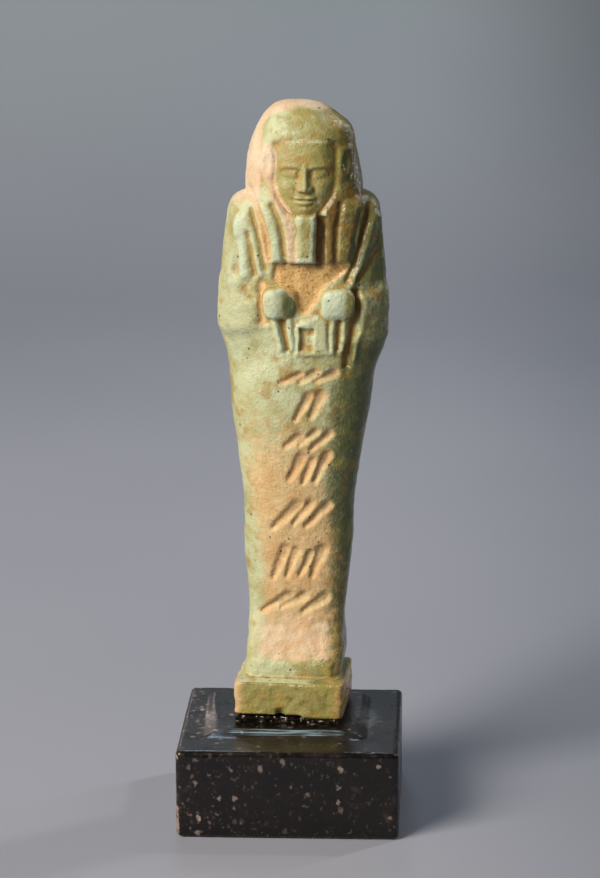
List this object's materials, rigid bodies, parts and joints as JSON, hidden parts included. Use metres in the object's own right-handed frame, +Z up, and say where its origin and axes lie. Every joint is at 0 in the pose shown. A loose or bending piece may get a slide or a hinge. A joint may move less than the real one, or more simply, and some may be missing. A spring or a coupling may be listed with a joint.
{
  "type": "ushabti figurine",
  "caption": "Mummy-shaped faience funerary figurine with tripartite wig, crossed arms and foot plinth, standing on a polished dark stone block.",
  "frame": {"origin": "middle of the stone block's underside, on the surface it stands on", "axes": "+Z up along the figure, +Y from the figure's front to its back, +X to the right of a viewer in front of it"},
  "size_m": [0.0338, 0.0314, 0.1101],
  "materials": {
    "faience": "worn pale green glaze over a sandy buff body",
    "stone": "polished, near black with pale fossil specks",
    "adhesive": "clear, glossy"
  },
  "bodies": {
    "root": {"ushabti_figure": "faience", "stone_stand": "stone", "adhesive_bead": "adhesive"}
  },
  "joints": []
}
